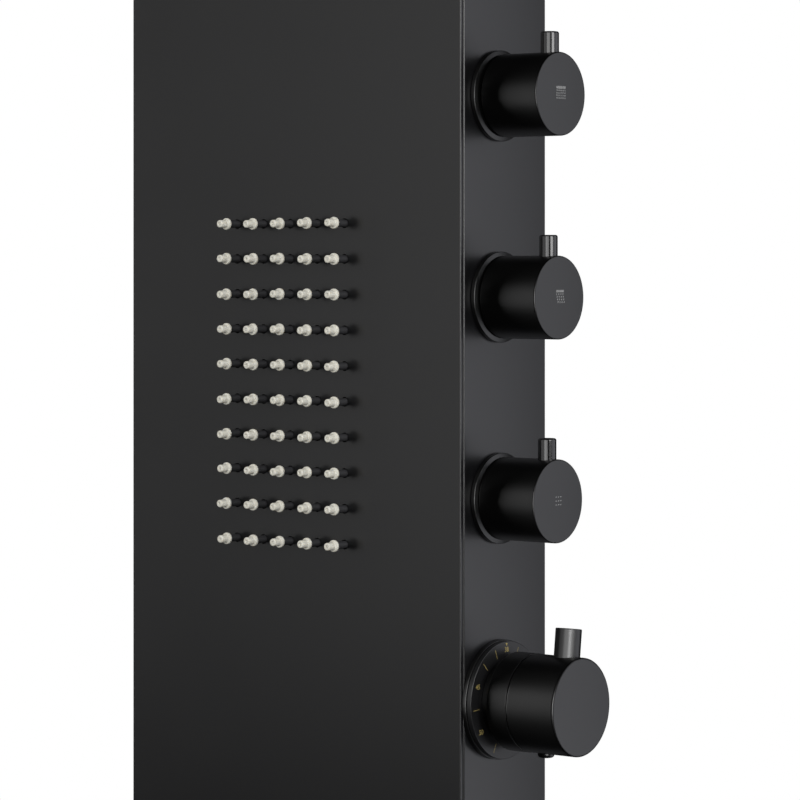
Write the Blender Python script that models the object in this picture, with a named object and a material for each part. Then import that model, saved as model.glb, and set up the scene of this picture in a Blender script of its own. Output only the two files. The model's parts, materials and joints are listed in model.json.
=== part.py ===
"""Wall-hung rainfall shower column: folded steel casing with 50 body jets, a forward rain
canopy, three stop-valve knobs and a thermostatic mixer on its right side.
Metres, +Z up, +X towards the knobs, the wall at Y = 0 and the front at Y = -DEPTH.
The origin is on the wall, behind the upper wall bracket."""
import math

import bmesh
import bpy
from mathutils import Matrix, Vector

# Casing
WIDTH = 0.220
DEPTH = 0.070
BOTTOM_Z = -1.150
TOP_Z = 0.250
SHEET = 0.002                # steel sheet
COVER_GAP = 0.0006           # shadow line between the front cover and the side panels
FIT = 0.0003                 # gap left between touching pieces
FLANGE = 0.012               # inward fold along a side panel's front edge
REAR_Y = -0.010              # back face of the rear panel
SIDE_X = WIDTH / 2

# Controls on the right side
CONTROL_Y = -0.0395          # axis of every knob, in front of the wall
THERMOSTAT_Z = -0.820
CONTROL_PITCH = 0.100
KNOB_RADIUS = 0.0206
KNOB_LENGTH = 0.0335
KNOB_END = {"rain": 0.0386, "hand": 0.0378, "jets": 0.0370}   # end faces, out from the side panel
KNOB_LEVER_RADIUS = 0.00455
KNOB_LEVER_BACK = 0.0068     # lever's axis, behind the knob's end face
KNOB_LEVER_TOP = 0.0308      # above the knob's axis
THERMO_RADIUS = 0.0242
THERMO_START = 0.0232        # back of the turning handle, out from the side panel
THERMO_END = 0.0513
THERMO_LEVER_RADIUS = 0.0065
THERMO_LEVER_X = 0.0402
THERMO_LEVER_LEAN = -6.6     # degrees about +X
THERMO_LEVER_TOP = 0.0378
DIAL_RADIUS = 0.0292
RING_RADIUS = 0.0226
BUTTON_RADIUS = 0.0042
BUTTON_X = 0.0295
SCREW_RADIUS = 0.0025
SPINDLE_RADIUS = 0.004
CARTRIDGE_RADIUS = 0.011
CARTRIDGE_DEPTH = 0.014      # seat of a cartridge in the manifold
CONTROL_HOLE = 0.0115        # hole in the side panel round a cartridge
RING_BORE = 0.0090

# Body jets
JET_PITCH = 0.018
JET_COLUMNS = 5
JET_ROWS = 10
JETS_Z = -0.664
JET_STEM = 0.00195
JET_COLLAR = 0.0030
JET_COLLAR_OUT = (0.0060, 0.0075)
JET_TIP_OUT = 0.0139
JET_HOLE = 0.0024
JET_CHAMBER_BACK = -0.050
MAT_THICKNESS = 0.0025       # of the jet mat and the rain mat, both moulded
MAT_BORDER = 0.009           # mat beyond its outer jets

# Rain canopy
CANOPY_LENGTH = 0.500
CANOPY_HEIGHT = 0.024
RAIN_PITCH = 0.026
RAIN_COLUMNS = 6
RAIN_ROWS = 8
RAIN_FIELD_Y = -0.300
RAIN_PLATE = 0.0015
RAIN_TIP_OUT = 0.004

# Services
MANIFOLD_X = (0.050, 0.078)
INLET_X = 0.075
INLET_Z = -1.050
OUTLET_Z = -0.960
BRACKET_Z = (0.0, -0.950)
BRACKET_WIDTH = 0.150
HOSE_RADIUS = 0.005

ROUND = 24                   # sides of a large round piece
SMALL = 16                   # sides of a small round piece
UPWARD = Matrix.Rotation(-math.pi / 2, 4, "Y")   # stands a turned shape on its end

COLOURS = {                  # linear colour, metallic, roughness
    "black_paint": ((0.012, 0.012, 0.013), 0.0, 0.42),
    "black_dial": ((0.010, 0.010, 0.011), 0.0, 0.50),
    "silicone": ((0.62, 0.61, 0.57), 0.0, 0.55),
    "brass": ((0.60, 0.45, 0.20), 1.0, 0.35),
    "steel": ((0.55, 0.55, 0.56), 1.0, 0.35),
    "abs": ((0.045, 0.045, 0.047), 0.0, 0.50),
    "hose": ((0.30, 0.30, 0.31), 0.6, 0.45),
}


def clear_scene():
    for old in list(bpy.data.objects):
        bpy.data.objects.remove(old, do_unlink=True)


def material(key):
    found = bpy.data.materials.get(key)
    if found:
        return found
    colour, metallic, roughness = COLOURS[key]
    made = bpy.data.materials.new(key)
    made.use_nodes = True
    shader = made.node_tree.nodes["Principled BSDF"]
    shader.inputs["Base Color"].default_value = (*colour, 1.0)
    shader.inputs["Metallic"].default_value = metallic
    shader.inputs["Roughness"].default_value = roughness
    return made


def add_object(name, mesh_bm, finish, at=(0, 0, 0), turn=None, smooth=False):
    """Turns a bmesh into a named object, placed with its origin at the given point."""
    bmesh.ops.recalc_face_normals(mesh_bm, faces=mesh_bm.faces)
    mesh = bpy.data.meshes.new(name)
    mesh_bm.to_mesh(mesh)
    mesh_bm.free()
    made = bpy.data.objects.new(name, mesh)
    bpy.context.collection.objects.link(made)
    if turn:
        mesh.transform(turn)
    made.location = at
    mesh.materials.append(material(finish))
    if smooth:
        mesh.shade_smooth()
        mesh.set_sharp_from_angle(angle=math.radians(35))
    return made


def block_into(bm, low, high):
    size = [b - a for a, b in zip(low, high)]
    centre = [(a + b) / 2 for a, b in zip(low, high)]
    place = Matrix.Translation(centre) @ Matrix.Diagonal((*size, 1.0))
    bmesh.ops.create_cube(bm, size=1.0, matrix=place)


def block(name, low, high, finish, origin=(0, 0, 0)):
    bm = bmesh.new()
    block_into(bm, [v - o for v, o in zip(low, origin)], [v - o for v, o in zip(high, origin)])
    return add_object(name, bm, finish, at=origin)


def turned_into(bm, profile, segments):
    """Spins (along, radius) points about X. A profile that starts off the axis closes on itself."""
    verts = [bm.verts.new((x, 0.0, r)) for x, r in profile]
    pairs = list(zip(verts, verts[1:]))
    if profile[0][1] > 0:
        pairs.append((verts[-1], verts[0]))
    edges = [bm.edges.new(pair) for pair in pairs]
    bmesh.ops.spin(bm, geom=verts + edges, cent=(0, 0, 0), axis=(1, 0, 0),
                   angle=math.tau, steps=segments, use_merge=True)
    bmesh.ops.remove_doubles(bm, verts=bm.verts, dist=1e-6)


def turned(name, profile, finish, at, segments=ROUND, turn=None):
    bm = bmesh.new()
    turned_into(bm, profile, segments)
    return add_object(name, bm, finish, at=at, turn=turn, smooth=True)


def extruded_into(bm, outline, low, high):
    """Extrudes a closed (Y, Z) outline along X between two places."""
    raise_into(bm, [(low, y, z) for y, z in outline], (high - low, 0, 0))


def raise_into(bm, corners, vector):
    """A prism: the flat face through the corners, carried along the vector."""
    face = bm.faces.new([bm.verts.new(corner) for corner in corners])
    grown = bmesh.ops.extrude_face_region(bm, geom=[face])["geom"]
    moved = [v for v in grown if isinstance(v, bmesh.types.BMVert)]
    bmesh.ops.translate(bm, verts=moved, vec=vector)


def placed_into(bm, profile, segments, place):
    """Adds a turned shape to a mesh at the given place."""
    part = bmesh.new()
    turned_into(part, profile, segments)
    part.transform(place)
    mesh = bpy.data.meshes.new("placed")
    part.to_mesh(mesh)
    part.free()
    bm.from_mesh(mesh)
    bpy.data.meshes.remove(mesh)


def rod_into(bm, start, direction, length, radius, segments=SMALL):
    turn = Vector((1, 0, 0)).rotation_difference(Vector(direction)).to_matrix().to_4x4()
    placed_into(bm, rod_profile(0, length, radius), segments, Matrix.Translation(start) @ turn)


def rod_profile(low, high, radius, edge=0.0):
    """Outline of a solid rod, with a small chamfer round its far end if an edge is given."""
    if not edge:
        return [(low, 0), (low, radius), (high, radius), (high, 0)]
    return [(low, 0), (low, radius), (high - edge, radius), (high, radius - edge), (high, 0)]


def cut(target, cutter_bm, joining=False):
    """Subtracts the cutter's shapes from the target, or joins them to it."""
    cutter = add_object(target.name + "_cutter", cutter_bm, "steel", at=target.location)
    cutter.hide_render = True
    cutter.display_type = "WIRE"
    step = target.modifiers.new("shape", "BOOLEAN")
    step.operation = "UNION" if joining else "DIFFERENCE"
    step.solver = "EXACT"
    step.object = cutter


def hose(name, points):
    """A smooth tube through the given points."""
    steps, lead = 3, 0.001
    knots = [Vector(p) for p in points]
    ends = [knots[0] * 2 - knots[1], *knots, knots[-1] * 2 - knots[-2]]
    route = []
    for a, b, c, d in zip(ends, ends[1:], ends[2:], ends[3:]):
        for k in range(steps):
            t = k / steps
            route.append(0.5 * (2 * b + (c - a) * t + (2 * a - 5 * b + 4 * c - d) * t ** 2
                                + (3 * b - a - 3 * c + d) * t ** 3))
    route.append(knots[-1])
    # A short straight lead at each end squares its cut face to the fitting.
    route.insert(1, knots[0] + (knots[1] - knots[0]).normalized() * lead)
    route.insert(-1, knots[-1] + (knots[-2] - knots[-1]).normalized() * lead)
    curve = bpy.data.curves.new(name, "CURVE")
    curve.dimensions = "3D"
    curve.bevel_depth = HOSE_RADIUS
    curve.bevel_resolution = 2
    curve.use_fill_caps = True
    spline = curve.splines.new("POLY")
    spline.points.add(len(route) - 1)
    for point, place in zip(spline.points, route):
        point.co = (*place, 1.0)
    curve.materials.append(material("hose"))
    bpy.context.collection.objects.link(bpy.data.objects.new(name, curve))


def control_heights():
    """Knob axes: overhead rain, hand shower and body jets, above the thermostat."""
    return {"rain": THERMOSTAT_Z + 3 * CONTROL_PITCH,
            "hand": THERMOSTAT_Z + 2 * CONTROL_PITCH,
            "jets": THERMOSTAT_Z + CONTROL_PITCH}


def grid(columns, rows, pitch):
    for i in range(columns):
        for j in range(rows):
            yield (i - (columns - 1) / 2) * pitch, (j - (rows - 1) / 2) * pitch


def front_cover():
    cover = block("front_cover", (-SIDE_X, -DEPTH, BOTTOM_Z), (SIDE_X, -DEPTH + SHEET, TOP_Z),
                  "black_paint", origin=(0, -DEPTH, JETS_Z))
    holes = bmesh.new()
    for x, z in grid(JET_COLUMNS, JET_ROWS, JET_PITCH):
        rod_into(holes, (x, -0.001, z), (0, 1, 0), SHEET + 0.002, JET_HOLE, segments=6)
    cut(cover, holes)


def side_panel(name, side, holes):
    """A sheet with its front edge folded inward behind the front cover."""
    front = -DEPTH + SHEET + COVER_GAP
    outer, inner = side * SIDE_X, side * (SIDE_X - SHEET)
    fold = side * (SIDE_X - FLANGE)
    outline = [(outer, 0), (outer, front), (fold, front), (fold, front + SHEET),
               (inner, front + SHEET), (inner, 0)]
    bm = bmesh.new()
    raise_into(bm, [(x, y, BOTTOM_Z) for x, y in outline], (0, 0, TOP_Z - BOTTOM_Z))
    panel = add_object(name, bm, "black_paint")
    cutter = bmesh.new()
    for z, radius in holes:
        rod_into(cutter, (inner - side * 0.002, CONTROL_Y, z), (side, 0, 0), 0.006, radius, segments=16)
    cut(panel, cutter)


def rear_panel():
    inside = SIDE_X - SHEET - FIT
    panel = block("rear_panel", (-inside, REAR_Y - SHEET, BOTTOM_Z), (inside, REAR_Y, TOP_Z - FIT),
                  "black_paint")
    cutter = bmesh.new()
    for side in (-1, 1):
        rod_into(cutter, (side * INLET_X, REAR_Y - 0.004, INLET_Z), (0, 1, 0), 0.006, 0.015, segments=16)
    cut(panel, cutter)


def bottom_cap():
    inside = SIDE_X - SHEET - FIT
    front = -DEPTH + 2 * SHEET + COVER_GAP + FIT
    block("bottom_cap", (-inside, front, BOTTOM_Z), (inside, REAR_Y - SHEET - FIT, BOTTOM_Z + SHEET),
          "black_paint")


def body_jets():
    """One moulded mat carries all the jets; it closes a shallow water chamber."""
    half_x = JET_PITCH * (JET_COLUMNS - 1) / 2 + MAT_BORDER
    half_z = JET_PITCH * (JET_ROWS - 1) / 2 + MAT_BORDER
    face_y = -DEPTH + SHEET + FIT
    mat_back = face_y + MAT_THICKNESS
    mat = block("jet_mat", (-half_x, face_y, JETS_Z - half_z), (half_x, mat_back, JETS_Z + half_z),
                "silicone", origin=(0, -DEPTH, JETS_Z))
    root = SHEET + FIT + 0.001
    collar_start, collar_end = JET_COLLAR_OUT
    profile = [(-root, 0), (-root, JET_STEM), (collar_start, JET_STEM), (collar_start, JET_COLLAR),
               (collar_end, JET_COLLAR), (collar_end, JET_STEM), (JET_TIP_OUT, JET_STEM), (JET_TIP_OUT, 0)]
    jets = bmesh.new()
    for x, z in grid(JET_COLUMNS, JET_ROWS, JET_PITCH):
        outward = Matrix.Translation((x, 0, z)) @ Matrix.Rotation(-math.pi / 2, 4, "Z")
        placed_into(jets, profile, 6, outward)
    cut(mat, jets, joining=True)
    jet_chamber(half_x, half_z, mat_back + FIT)


def jet_chamber(half_x, half_z, front):
    """A shallow box behind the jet mat, with a port for its hose in the back wall."""
    wall, port_radius, back = 0.003, 0.0035, JET_CHAMBER_BACK
    chamber = bmesh.new()
    block_into(chamber, (-half_x, front, JETS_Z - half_z), (half_x, back, JETS_Z + half_z))
    made = add_object("jet_chamber", chamber, "abs")
    hollow = bmesh.new()
    block_into(hollow, (wall - half_x, front - 0.001, JETS_Z - half_z + wall),
               (half_x - wall, back - wall, JETS_Z + half_z - wall))
    cut(made, hollow)
    port = bmesh.new()
    rod_into(port, (0, back - wall - 0.001, JETS_Z), (0, 1, 0), wall + 0.002, port_radius, segments=12)
    cut(made, port)


def wall_hook(number, z):
    """A bracket on the wall with an upturned lip, and the hanger on the rear panel that drops over it."""
    half = BRACKET_WIDTH / 2
    place = ("upper", "lower")[number]
    bracket = bmesh.new()
    extruded_into(bracket, [(0, -0.025), (0, 0.025), (-0.002, 0.025), (-0.002, 0.012), (-0.0045, 0.012),
                            (-0.0045, 0.022), (-0.0065, 0.022), (-0.0065, 0.010), (-0.002, 0.010),
                            (-0.002, -0.025)], -half, half)
    made = add_object(place + "_wall_bracket", bracket, "steel", at=(0, 0, z))
    screw_holes = bmesh.new()
    for side in (-1, 1):
        rod_into(screw_holes, (side * 0.055, -0.004, -0.010), (0, 1, 0), 0.006, 0.0027, segments=12)
    cut(made, screw_holes)
    hanger = bmesh.new()
    back = REAR_Y + FIT
    extruded_into(hanger, [(back, 0.008), (back, 0.050), (back + 0.002, 0.050), (back + 0.002, 0.030),
                           (-0.0023, 0.030), (-0.0023, 0.0123), (-0.0042, 0.0123), (-0.0042, 0.028),
                           (back + 0.002, 0.028), (back + 0.002, 0.008)], -half + 0.01, half - 0.01)
    add_object(place + "_hanger", hanger, "steel", at=(0, 0, z))


def valve_manifold():
    low_z, high_z = THERMOSTAT_Z - 0.030, control_heights()["rain"] + 0.025
    manifold = block("valve_manifold", (MANIFOLD_X[0], CONTROL_Y - 0.015, low_z),
                     (MANIFOLD_X[1], CONTROL_Y + 0.015, high_z), "brass")
    pockets = bmesh.new()
    for z in (*control_heights().values(), THERMOSTAT_Z):
        rod_into(pockets, (MANIFOLD_X[1] - CARTRIDGE_DEPTH, CONTROL_Y, z), (1, 0, 0), CARTRIDGE_DEPTH + 0.002,
                 CARTRIDGE_RADIUS + FIT, 16)
    cut(manifold, pockets)


def cartridge(name, z):
    """Headwork held in the manifold, with a bore for the spindle."""
    start = MANIFOLD_X[1] - CARTRIDGE_DEPTH + FIT
    shoulder = SIDE_X - 0.010 - start
    end = SIDE_X - 0.001 - start
    neck_radius, bore = 0.008, SPINDLE_RADIUS + FIT
    profile = [(0, bore), (0, CARTRIDGE_RADIUS), (shoulder, CARTRIDGE_RADIUS), (shoulder, neck_radius),
               (end, neck_radius), (end, bore)]
    turned(name, profile, "brass", (start, CONTROL_Y, z), segments=16)


def spindle(name, z, end):
    """The stem that a knob sits on; it reaches from the cartridge to the given distance out."""
    start = MANIFOLD_X[1] + 0.008
    length = SIDE_X + end - start
    turned(name, rod_profile(0, length, SPINDLE_RADIUS), "brass", (start, CONTROL_Y, z), segments=SMALL)


def grub_screw(name, x, z, top, lean=Matrix()):
    """Headless screw in a knob that bears on the spindle, hidden under the lever pin."""
    low = SPINDLE_RADIUS + 2 * FIT
    turned(name, rod_profile(low, top, SCREW_RADIUS), "steel", (SIDE_X + x, CONTROL_Y, z), segments=12,
           turn=lean @ UPWARD)


def lever_pocket(x, depth, top, lever_radius, lean=Matrix()):
    """Stepped cutter: the lever pin's socket, and below it the clamp screw's hole down to the spindle."""
    screw, socket = SCREW_RADIUS + 0.0002, lever_radius + FIT
    profile = [(0, 0), (0, screw), (depth, screw), (depth, socket), (top, socket), (top, 0)]
    pocket = bmesh.new()
    placed_into(pocket, profile, SMALL, Matrix.Translation((x, 0, 0)) @ lean @ UPWARD)
    return pocket


def base_ring(name, z):
    face_radius, side_end, face = 0.0205, 0.0024, 0.0031
    profile = [(FIT, RING_BORE), (FIT, RING_RADIUS), (side_end, RING_RADIUS), (face, face_radius),
               (face, RING_BORE)]
    turned(name + "_base_ring", profile, "black_paint", (SIDE_X, CONTROL_Y, z))


def stop_valve(name, z):
    """Base ring, knob, lever pin, spindle and cartridge of one outlet."""
    base_ring(name, z)
    end = KNOB_END[name]
    start, rim, back_edge = end - KNOB_LENGTH, 0.0008, 0.0003
    recess_radius, recess_end = 0.016, start + 0.006
    bore, bore_end = SPINDLE_RADIUS + FIT, end - 0.0035
    profile = [(bore_end, 0), (bore_end, bore), (recess_end, bore), (recess_end, recess_radius),
               (start, recess_radius), (start, KNOB_RADIUS - back_edge), (start + back_edge, KNOB_RADIUS),
               (end - rim, KNOB_RADIUS), (end, KNOB_RADIUS - rim), (end, 0)]
    knob = turned(name + "_knob", profile, "black_paint", (SIDE_X, CONTROL_Y, z))
    lever_x, pocket_depth = end - KNOB_LEVER_BACK, 0.013
    cut(knob, lever_pocket(lever_x, pocket_depth, KNOB_RADIUS + 0.004, KNOB_LEVER_RADIUS))

    turned(name + "_lever", rod_profile(pocket_depth + FIT, KNOB_LEVER_TOP, KNOB_LEVER_RADIUS, 0.0009),
           "black_paint", (SIDE_X + lever_x, CONTROL_Y, z), segments=SMALL, turn=UPWARD)
    grub_screw(name + "_grub_screw", lever_x, z, pocket_depth - FIT)
    spindle(name + "_spindle", z, bore_end - 0.001)
    cartridge(name + "_cartridge", z)


def thermostat():
    """Rosette, dial, fixed sleeve, turning handle with lever and safety stop button."""
    at = (SIDE_X, CONTROL_Y, THERMOSTAT_Z)
    edge, dial_start, dial_end = 0.0003, 0.0028, 0.0053
    plate = DIAL_RADIUS + 0.0005
    turned("thermostat_rosette", [(FIT, RING_BORE), (FIT, plate), (dial_start - FIT, plate),
                                  (dial_start - FIT, RING_BORE)], "black_paint", at)
    turned("thermostat_dial", [(dial_start, RING_BORE), (dial_start, DIAL_RADIUS),
                               (dial_end - edge, DIAL_RADIUS), (dial_end, DIAL_RADIUS - edge),
                               (dial_end, RING_BORE)], "black_dial", at)
    neck_radius, neck_end, sleeve_radius = 0.0205, 0.0110, THERMO_RADIUS + 0.0002
    sleeve_end = THERMO_START - 2 * FIT
    turned("thermostat_sleeve", [(dial_end + FIT, RING_BORE), (dial_end + FIT, neck_radius),
                                 (neck_end, neck_radius), (neck_end, sleeve_radius),
                                 (sleeve_end, sleeve_radius), (sleeve_end, RING_BORE)], "black_paint", at)
    thermostat_handle(at)
    spindle("thermostat_spindle", THERMOSTAT_Z, THERMO_END - 0.009)
    cartridge("thermostat_cartridge", THERMOSTAT_Z)


def thermostat_handle(at):
    """Turning handle, its lever pin and clamp screw, and the safety stop button in its underside."""
    rim, back_edge = 0.0012, 0.0003
    hub, hub_end = SPINDLE_RADIUS + FIT, THERMO_END - 0.008
    profile = [(hub_end, 0), (hub_end, hub), (THERMO_START, hub), (THERMO_START, THERMO_RADIUS - back_edge),
               (THERMO_START + back_edge, THERMO_RADIUS), (THERMO_END - rim, THERMO_RADIUS),
               (THERMO_END, THERMO_RADIUS - rim), (THERMO_END, 0)]
    handle = turned("thermostat_handle", profile, "black_paint", at)
    lean = Matrix.Rotation(math.radians(THERMO_LEVER_LEAN), 4, "X")
    pocket_depth, shelf = 0.016, 0.0130
    pocket = lever_pocket(THERMO_LEVER_X, pocket_depth, THERMO_RADIUS + 0.006, THERMO_LEVER_RADIUS, lean)
    rod_into(pocket, (BUTTON_X, 0, -shelf), (0, 0, -1), 0.016, BUTTON_RADIUS + FIT)
    cut(handle, pocket)

    lever_at = (SIDE_X + THERMO_LEVER_X, CONTROL_Y, THERMOSTAT_Z)
    turned("thermostat_lever", rod_profile(pocket_depth + FIT, THERMO_LEVER_TOP, THERMO_LEVER_RADIUS, 0.0005),
           "black_paint", lever_at, segments=SMALL, turn=lean @ UPWARD)
    grub_screw("thermostat_grub_screw", THERMO_LEVER_X, THERMOSTAT_Z, pocket_depth - FIT, lean)

    button_top, button_out = shelf + 0.0045, THERMO_RADIUS + 0.0022
    turned("thermostat_button", rod_profile(button_top, button_out, BUTTON_RADIUS, 0.0012), "black_paint",
           (SIDE_X + BUTTON_X, CONTROL_Y, THERMOSTAT_Z), segments=SMALL,
           turn=Matrix.Rotation(math.pi / 2, 4, "Y"))
    button_spring(BUTTON_X, shelf + FIT, button_top - FIT)


def button_spring(x, low, high):
    """Small helical return spring above the safety button."""
    turns, per_turn, coil_radius, wire = 2.5, 10, 0.0030, 0.0003
    curve = bpy.data.curves.new("button_spring", "CURVE")
    curve.dimensions = "3D"
    curve.bevel_depth = wire
    curve.bevel_resolution = 0
    curve.use_fill_caps = True
    spline = curve.splines.new("POLY")
    count = int(turns * per_turn) + 1
    spline.points.add(count - 1)
    for k, point in enumerate(spline.points):
        angle = k / per_turn * math.tau
        drop = low + wire + (high - low - 2 * wire) * k / (count - 1)
        point.co = (coil_radius * math.cos(angle), coil_radius * math.sin(angle), -drop, 1.0)
    curve.materials.append(material("steel"))
    spring = bpy.data.objects.new("button_spring", curve)
    spring.location = (SIDE_X + x, CONTROL_Y, THERMOSTAT_Z)
    bpy.context.collection.objects.link(spring)


def water_inlets():
    """Wall unions for cold on the left and hot on the right, each with a non-return valve."""
    facing = Matrix.Rotation(-math.pi / 2, 4, "Z")
    bore, length = 0.0070, 0.040
    for name, side in (("cold", -1), ("hot", 1)):
        at = (side * INLET_X, 0, INLET_Z)
        turned(name + "_inlet", [(0, bore), (0, 0.0125), (0.006, 0.0125), (0.006, 0.0105), (0.026, 0.0105),
                                 (0.026, 0.0125), (length, 0.0125), (length, bore)], "brass", at,
               segments=16, turn=facing)
        turned(name + "_check_valve", [(0.006, 0), (0.008, 0.0045), (0.012, bore - FIT), (0.028, bore - FIT),
                                       (0.030, 0.0045), (0.030, 0)], "abs", at, segments=SMALL, turn=facing)


def hand_outlet():
    """Threaded outlet on the left side that the hand-shower hose screws on to."""
    left = -SIDE_X
    outward = Matrix.Rotation(math.pi, 4, "Z")
    at = (left, CONTROL_Y, OUTLET_Z)
    turned("hand_outlet_rosette", [(FIT, 0.0210), (0.0030, 0.0210), (0.0036, 0.0200), (0.0036, 0.0084),
                                   (FIT, 0.0084)], "black_paint", at, segments=20, turn=outward)
    # The elbow is a level barrel from inside the casing and a spigot that points down.
    barrel = [(-0.012, 0), (-0.012, 0.0080), (0.0040, 0.0080), (0.0040, 0.0110), (0.0330, 0.0110),
              (0.0340, 0.0100), (0.0340, 0)]
    elbow = turned("hand_outlet", barrel, "black_paint", at, segments=20, turn=outward)
    spigot = bmesh.new()
    rod_into(spigot, (-0.022, 0, -0.004), (0, 0, -1), 0.026, 0.0095, 20)
    cut(elbow, spigot, joining=True)
    waterways = (((-0.022, 0, 0), (0, 0, -1), 0.0060), ((0.020, 0, 0), (-1, 0, 0), 0.0050))
    for start, direction, radius in waterways:
        channel = bmesh.new()
        rod_into(channel, start, direction, 0.042, radius)
        cut(elbow, channel)


def hoses():
    """Braided hoses inside the casing, along the routes they are held on."""
    left_face = MANIFOLD_X[0] - FIT
    heights = control_heights()
    behind = CONTROL_Y + 0.009
    hose("jets_hose", [(left_face, behind, heights["jets"]), (0.034, behind, heights["jets"]),
                       (0.012, behind, heights["jets"] + 0.008), (0, behind, JETS_Z - 0.022),
                       (0, behind - 0.006, JETS_Z - 0.006), (0, JET_CHAMBER_BACK + 0.006, JETS_Z),
                       (0, JET_CHAMBER_BACK + FIT, JETS_Z)])
    hose("hand_hose", [(left_face, behind, heights["hand"]), (0.030, behind, heights["hand"]),
                       (-0.020, behind + 0.004, heights["hand"] - 0.012), (-0.060, behind, -0.700),
                       (-0.064, CONTROL_Y, -0.800), (-0.064, CONTROL_Y, -0.900),
                       (-0.070, CONTROL_Y, OUTLET_Z + 0.014), (-0.082, CONTROL_Y, OUTLET_Z + 0.002),
                       (-SIDE_X + 0.012 + FIT, CONTROL_Y, OUTLET_Z)])
    rain_z = TOP_Z + 0.012
    hose("rain_hose", [(left_face, behind, heights["rain"]), (0.034, behind, heights["rain"]),
                       (0.012, behind, heights["rain"] + 0.030), (0, behind, heights["rain"] + 0.100),
                       (0, behind, -0.200), (0, behind, 0.050), (0, behind - 0.004, 0.210),
                       (0, CONTROL_Y - 0.008, TOP_Z - 0.004), (0, CONTROL_Y - 0.024, rain_z - 0.001),
                       (0, CONTROL_Y - 0.050, rain_z), (0, -0.1397, rain_z)])
    foot = THERMOSTAT_Z - 0.030 - FIT
    entry = -0.040 - FIT
    hose("hot_hose", [(INLET_X, entry, INLET_Z), (INLET_X, entry - 0.008, INLET_Z + 0.001),
                      (INLET_X, entry - 0.014, INLET_Z + 0.016), (INLET_X - 0.002, -0.050, INLET_Z + 0.060),
                      (0.071, CONTROL_Y, foot - 0.030), (0.071, CONTROL_Y, foot)])
    hose("cold_hose", [(-INLET_X, entry, INLET_Z), (-INLET_X, entry - 0.008, INLET_Z + 0.001),
                       (-INLET_X + 0.004, entry - 0.014, INLET_Z + 0.016), (-0.045, -0.050, INLET_Z + 0.050),
                       (0.020, -0.050, -0.940), (0.052, -0.043, -0.895), (0.057, CONTROL_Y, foot - 0.014),
                       (0.057, CONTROL_Y, foot)])


def rain_canopy():
    """A flat tray on top of the column that reaches forward over the bather."""
    low, high = TOP_Z + FIT, TOP_Z + FIT + CANOPY_HEIGHT
    shell = block("rain_shell", (-SIDE_X, -CANOPY_LENGTH, low), (SIDE_X, 0, high), "black_paint")
    hollow = bmesh.new()
    block_into(hollow, (SHEET - SIDE_X, SHEET - CANOPY_LENGTH, low - 0.001),
               (SIDE_X - SHEET, -SHEET, high - SHEET))
    cut(shell, hollow)

    inside = SIDE_X - SHEET - FIT
    plate_top = low + RAIN_PLATE
    plate = block("rain_plate", (-inside, SHEET + FIT - CANOPY_LENGTH, low),
                  (inside, -DEPTH - FIT, plate_top), "black_paint", origin=(0, RAIN_FIELD_Y, low))
    holes = bmesh.new()
    for x, y in grid(RAIN_COLUMNS, RAIN_ROWS, RAIN_PITCH):
        rod_into(holes, (x, y, -0.001), (0, 0, 1), RAIN_PLATE + 0.002, 0.0026, 6)
    cut(plate, holes)

    half_x = RAIN_PITCH * (RAIN_COLUMNS - 1) / 2 + 0.011
    half_y = RAIN_PITCH * (RAIN_ROWS - 1) / 2 + 0.011
    mat_low = plate_top + FIT
    mat = block("rain_mat", (-half_x, RAIN_FIELD_Y - half_y, mat_low),
                (half_x, RAIN_FIELD_Y + half_y, mat_low + MAT_THICKNESS), "silicone",
                origin=(0, RAIN_FIELD_Y, mat_low))
    nozzles = bmesh.new()
    tip = RAIN_PLATE + FIT + RAIN_TIP_OUT
    for x, y in grid(RAIN_COLUMNS, RAIN_ROWS, RAIN_PITCH):
        rod_into(nozzles, (x, y, 0.001), (0, 0, -1), tip + 0.001, 0.0021, 6)
    cut(mat, nozzles, joining=True)

    box_low = mat_low + MAT_THICKNESS + FIT
    block("rain_water_box", (-half_x, RAIN_FIELD_Y - half_y, box_low),
          (half_x, -0.140, high - SHEET - 0.001), "abs")

    bracket = bmesh.new()
    front_leg, shelf = REAR_Y - SHEET - FIT, high - SHEET - FIT
    extruded_into(bracket, [(front_leg, 0.150), (front_leg, shelf), (-0.130, shelf), (-0.130, shelf - 0.0025),
                            (front_leg - 0.0025, shelf - 0.0025), (front_leg - 0.0025, 0.150)], -0.080, 0.080)
    add_object("canopy_bracket", bracket, "steel")


def main():
    clear_scene()
    front_cover()
    heights = control_heights()
    side_panel("right_side_panel", 1, [(z, CONTROL_HOLE) for z in (*heights.values(), THERMOSTAT_Z)])
    side_panel("left_side_panel", -1, [(OUTLET_Z, 0.0083)])
    rear_panel()
    bottom_cap()
    body_jets()
    for number, z in enumerate(BRACKET_Z):
        wall_hook(number, z)
    valve_manifold()
    for name, z in heights.items():
        stop_valve(name, z)
    thermostat()
    water_inlets()
    hand_outlet()
    hoses()
    rain_canopy()


main()
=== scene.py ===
import json
import math
import random

import bmesh
import bpy
from mathutils import Matrix, Vector


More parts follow.
